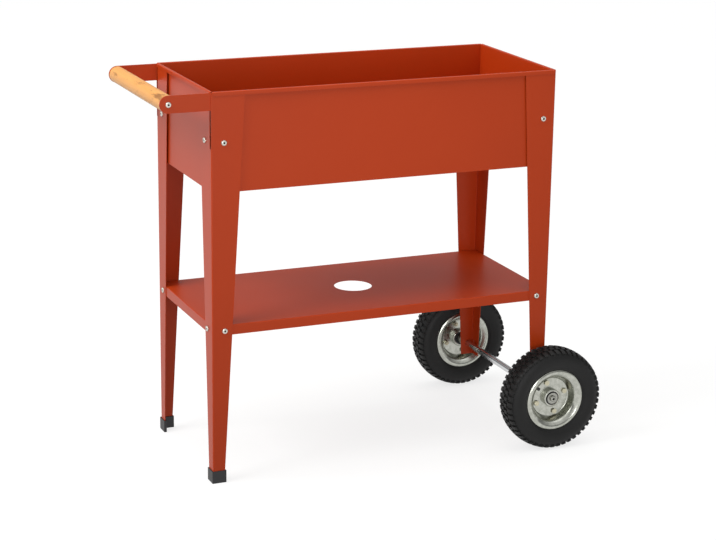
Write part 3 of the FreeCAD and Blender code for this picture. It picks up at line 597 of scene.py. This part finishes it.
galvanised = make_galvanised()
wheel_low, wheel_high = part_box("front_tyre")
wheel_centre = (wheel_low + wheel_high) / 2


def pressed_between(low, high):
    """A test for edges where a pressed sheet turns, within a range of radii."""
    def test(edge):
        turns = len(edge.link_faces) == 2 and edge.calc_face_angle() > pressed_turn
        return turns and all(low < (point.co - wheel_centre).xz.length < high for point in edge.verts)
    return test


def make_rim(name, side):
    """A front rim half, with a rolled lip. The side is -1 for the half that faces out."""
    profile = [
        (cup_radius - cup_lip, cup_depth),
        (cup_radius, cup_depth),
        (cup_radius, 0),
        (disc_radius, 0),
        (seat_radius, seat_depth),
    ]
    for step in range(flange_steps + 1):
        share = step / flange_steps
        crown = flange_crown * math.sin(math.pi * share)
        profile.append((flange_radius + (rim_radius - flange_radius) * share, flange_depth + crown))
    rim = turn(name, wheel_centre, [(radius, side * along) for radius, along in profile])
    pick(rim, "EDGE", pressed_between(cup_radius + rim_sheet, flange_radius - rim_sheet))
    bpy.ops.mesh.bevel(offset=rim_bend, segments=4, affect="EDGES")
    pick(rim, "EDGE", pressed_between(0, cup_radius + rim_sheet))
    bpy.ops.mesh.bevel(offset=cup_bend, segments=3, affect="EDGES")
    thicken(rim, rim_sheet, Vector((0, side, 0)), outwards=True)
    return rim


for half, side in (("outer_rim", -1), ("inner_rim", 1)):
    front_rim = make_rim("front_pressed_" + half, side)
    if side < 0:
        inwards = Matrix.Rotation(valve_turn, 3, "Y")
        valve_place = wheel_centre + inwards @ Vector((0, side * valve_offset, -seat_radius))
        drill(front_rim, valve_hole_radius, disc_radius, valve_place, (0, valve_turn, 0))
    back_rim = mirror_copy(front_rim, "back_pressed_" + half)
    set_off(front_rim, "front_wheel", "front_" + half, galvanised)
    set_off(back_rim, "back_wheel", "back_" + half, galvanised)
# The rim bolts and nuts get painted shade also where they stand on the rim halves.
yellow_zinc = make_zinc("yellow_zinc_plate", "#D0CBB4", "#ABA68E", alone=False)
for side in ("front", "back"):
    for node in ("_rim_bolts", "_rim_nuts"):
        dress(side + node, yellow_zinc)

# Tyres
# Moulded black rubber tyres, 62 mm wide, with four rows of square blocks that stagger round the tread.
# Each sits on its rim's bead seats and is blown up by a tube inside.
bead_radius = 0.051
bead_along = 0.0185
heel_radius = 0.057
heel_along = 0.0227
wall_radius = 0.067
belly_radius = 0.0855
wall_radii = (0.076, 0.080, belly_radius, 0.090, 0.094, 0.0975, 0.1005)
wall_bulge_centre = 0.00028
wall_bulge = 0.03072
shoulder_centre = 0.00675
shoulder_bulge = 0.02425
shoulder_along = 0.023
tread_radius = 0.1061
tread_curve = 0.0897
block_height = 0.0034
block_edge = 0.0006
block_count = 48
cells_per_pitch = 5
cells_per_block = 3
row_edges = (0.001, 0.011, 0.013)
outer_row_middle = 0.018
block_foot_radius = 0.0995
block_end_radius = 0.0985
ridge_radius = 0.0705
ridge_height = 0.0006
ridge_slope = 0.0008
ridge_width = 0.0012
ridge_fall = 0.001
lining = ((0.099, 0.015), (belly_radius, 0.0265), (0.066, 0.020), (bead_radius, 0.014))


def wall_along(radius):
    """How far a tyre's side bulges from the wheel's middle plane at a radius."""
    if radius < belly_radius:
        return wall_bulge_centre + math.sqrt(wall_bulge ** 2 - (radius - belly_radius) ** 2)
    return shoulder_centre + math.sqrt(shoulder_bulge ** 2 - (radius - belly_radius) ** 2)


def crown_radius(along):
    """The radius of the tread's base across its width."""
    return tread_radius - tread_curve + math.sqrt(tread_curve ** 2 - along ** 2)


def tyre_profile():
    """One side of the tyre from the bead to the middle of the tread, then the other side and the lining."""
    ridge = [(ridge_radius - ridge_slope, 0), (ridge_radius, ridge_height),
             (ridge_radius + ridge_width, ridge_height), (ridge_radius + ridge_width + ridge_fall, 0)]
    outer = [(bead_radius, bead_along), (heel_radius, heel_along), (rim_radius, heel_along)]
    outer += [(wall_radius, wall_along(wall_radius))]
    outer += [(radius, wall_along(radius) + rise) for radius, rise in ridge]
    outer += [(radius, wall_along(radius)) for radius in wall_radii]
    across = (shoulder_along, outer_row_middle, *reversed(row_edges))
    outer += [(crown_radius(along), along) for along in across]
    other_side = [(radius, -along) for radius, along in reversed(outer)]
    return outer + other_side + [(radius, -along) for radius, along in reversed(lining)] + list(lining)


def in_block(face):
    """Whether a face of the tread is the foot of a block."""
    spot = face.calc_center_median() - wheel_centre
    radius = spot.xz.length
    along = abs(spot.y)
    if radius < block_foot_radius or along > wall_along(block_end_radius) or face.normal.dot(spot) < 0:
        return False
    in_groove = along < row_edges[0] or row_edges[1] < along < row_edges[2]
    if in_groove:
        return False
    turn_share = math.atan2(spot.z, spot.x) / (2 * math.pi) + 1
    cell = int(turn_share * block_count * cells_per_pitch)
    shoulder_row = along > row_edges[2]
    if (spot.y > 0) != shoulder_row:
        cell += cells_per_pitch // 2
    return cell % cells_per_pitch < cells_per_block


# Tyre rubber: carbon-black rubber, matt, with a fine moulded grain and a faint grey bloom in patches.
def make_tyre_rubber():
    finish, tree, shader, place = new_finish("moulded_tyre_rubber")
    grain_size = 0.0012
    bloom_size = 0.02
    grain = add_node(tree, "ShaderNodeTexNoise", {"Vector": place, "Scale": 1 / grain_size, "Detail": 2})
    bloom = add_node(tree, "ShaderNodeTexNoise", {"Vector": place, "Scale": 1 / bloom_size, "Detail": 4})
    tone = add_node(tree, "ShaderNodeMix", {"Factor": bloom.outputs["Fac"], "A": linear("#0A0A0B"),
                                            "B": linear("#161615")}, data_type="RGBA")
    bump = add_node(tree, "ShaderNodeBump", {"Height": grain.outputs["Fac"], "Strength": 0.2,
                                             "Distance": 0.0003})
    tree.links.new(tone.outputs["Result"], shader.inputs["Base Color"])
    tree.links.new(between(tree, bloom.outputs["Fac"], 0.45, 0.62), shader.inputs["Roughness"])
    shader.inputs["Specular IOR Level"].default_value = 0.3
    tree.links.new(bump.outputs["Normal"], shader.inputs["Normal"])
    return finish


tyre_rubber = make_tyre_rubber()
tyre_steps = block_count * cells_per_pitch
front_tyre = turn("front_block_tyre", wheel_centre, tyre_profile(), closed=True, steps=tyre_steps)
bpy.ops.mesh.select_all(action="SELECT")
bpy.ops.mesh.normals_make_consistent(inside=False)
pick(front_tyre, "FACE", in_block)
bpy.ops.mesh.extrude_region_shrink_fatten(TRANSFORM_OT_shrink_fatten={"value": block_height})
bpy.ops.object.mode_set(mode="OBJECT")
ease(front_tyre, block_edge)
back_tyre = mirror_copy(front_tyre, "back_block_tyre")
set_off(front_tyre, "front_wheel", "front_tyre", tyre_rubber)
set_off(back_tyre, "back_wheel", "back_tyre", tyre_rubber)

# Tubes, bearings and the fixings on the axle
# The tube's valve stem comes through the outer rim half, and two sealed ball bearings turn on the axle.
# A spacer tube stands between the leg and the wheel, and a washer and an end bolt keep the wheel on.
bearing_edge = 0.0002
seal_radius = 0.0148
dull_zinc = make_zinc("dull_zinc_plate", "#AFAFA8", "#8A8A83")
for side in ("front", "back"):
    dress(side + "_inner_tube", tyre_rubber)
    dress(side + "_valve_cap", black_plastic)
    for node in ("bearing_inner_rings", "bearing_balls", "wheel_spacer", "wheel_washer"):
        dress(side + "_" + node, dull_zinc)
    end_bolt = soften(side + "_wheel_bolt", side + "_button_head_end_bolt", bolt_edge)
    set_off(end_bolt, "frame", side + "_wheel_bolt", dull_zinc)
    bearings = soften(side + "_bearing_outer_rings", side + "_sealed_bearings", bearing_edge)
    set_off(bearings, side + "_wheel", side + "_bearing_outer_rings", bright_zinc)
    bearings.data.materials.append(black_plastic)
    bpy.context.view_layer.objects.active = bearings
    bpy.ops.object.mode_set(mode="EDIT")
    pick(bearings, "FACE", lambda face: all(
        (point.co - wheel_centre).xz.length < seal_radius + bearing_edge for point in face.verts))
    bearings.active_material_index = 1
    bpy.ops.object.material_slot_assign()
    bpy.ops.object.mode_set(mode="OBJECT")

# Floor, light and camera
# A white studio floor under a soft sky that is brighter overhead, with softboxes to the left and in front.
# The floor glows a little in what is seen of it, so that it is white and still takes the shadow.
# A low white wall closes the view round the horizon.
floor_size = 400
floor_glow = 0.76
bpy.ops.mesh.primitive_plane_add(size=floor_size, location=(0, 0, 0))
floor = bpy.context.object
floor.name = "studio_floor"
floor_finish, floor_tree, floor_shader, _ = new_finish("white_studio_floor")
floor_shader.inputs["Base Color"].default_value = linear("#8E8E8D")
floor_shader.inputs["Roughness"].default_value = 0.9
floor_shader.inputs["Specular IOR Level"].default_value = 0.1


def seen_rays(tree):
    """1 for what is seen directly, in a reflection or through glass, and 0 for light on other surfaces."""
    rays = add_node(tree, "ShaderNodeLightPath")
    seen = rays.outputs["Is Camera Ray"]
    for ray in ("Is Glossy Ray", "Is Transmission Ray"):
        seen = add_node(tree, "ShaderNodeMath", {0: seen, 1: rays.outputs[ray]},
                        operation="MAXIMUM").outputs["Value"]
    return seen


floor_shader.inputs["Emission Color"].default_value = linear("#FFFFFF")
glow = between(floor_tree, seen_rays(floor_tree), 0, floor_glow)
floor_tree.links.new(glow, floor_shader.inputs["Emission Strength"])
floor.data.materials.append(floor_finish)

horizon_level = 0.1
zenith_level = 1.6
wall_top = 0.13
wall_fade = 0.2
world = bpy.data.worlds.new("studio")
bpy.context.scene.world = world
world.use_nodes = True
background = world.node_tree.nodes["Background"]
background.inputs["Color"].default_value = linear("#FFFFFF")
toward = add_node(world.node_tree, "ShaderNodeTexCoord").outputs["Generated"]
height = add_node(world.node_tree, "ShaderNodeSeparateXYZ", {"Vector": toward}).outputs["Z"]
overhead = add_node(world.node_tree, "ShaderNodeMath", {0: height, 1: 2}, operation="POWER").outputs["Value"]
level = between(world.node_tree, overhead, horizon_level, zenith_level)
wall = add_node(world.node_tree, "ShaderNodeMapRange", {"Value": height, "From Min": wall_top,
                                                        "From Max": wall_fade, "To Min": 1, "To Max": 0})
wall_seen = add_node(world.node_tree, "ShaderNodeMath", {0: seen_rays(world.node_tree),
                                                         1: wall.outputs["Result"]}, operation="MULTIPLY")
shown = add_node(world.node_tree, "ShaderNodeMix", {"Factor": wall_seen.outputs["Value"], "A": level, "B": 1})
world.node_tree.links.new(shown.outputs["Result"], background.inputs["Strength"])


def add_softbox(name, place, target, size, watts, spread):
    """A square soft lamp that points at a place, with the angle in degrees over which its light spreads."""
    lamp = bpy.data.objects.new(name, bpy.data.lights.new(name, "AREA"))
    bpy.context.scene.collection.objects.link(lamp)
    lamp.data.energy = watts
    lamp.data.size = size
    lamp.data.spread = math.radians(spread)
    lamp.location = place
    lamp.rotation_euler = (target - lamp.location).to_track_quat("-Z", "Y").to_euler()


front_low, front_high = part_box("tray_front_panel")
front_top = Vector(((front_low.x + front_high.x) / 2, front_low.y, front_high.z))
add_softbox("left_softbox", place=(-2.4, -0.2, 2.4), target=shelf_high, size=1.5, watts=53, spread=180)
add_softbox("front_softbox", place=(-0.5, -2.6, 0.85), target=front_top, size=1.0, watts=2.7, spread=50)

camera_place = (-1.6023, -3.7458, 1.5289)
camera_yaw = math.radians(-23.33)
camera_pitch = math.radians(90 - 15.94)
camera_roll = math.radians(0.81)
camera_lens = 100.884
camera = bpy.data.objects.new("camera", bpy.data.cameras.new("camera"))
bpy.context.scene.collection.objects.link(camera)
camera.location = camera_place
look = Matrix.Rotation(camera_yaw, 3, "Z") @ Matrix.Rotation(camera_pitch, 3, "X")
camera.rotation_euler = (look @ Matrix.Rotation(camera_roll, 3, "Z")).to_euler()
camera.data.lens = camera_lens
bpy.context.scene.camera = camera
bpy.context.scene.view_settings.view_transform = "Standard"
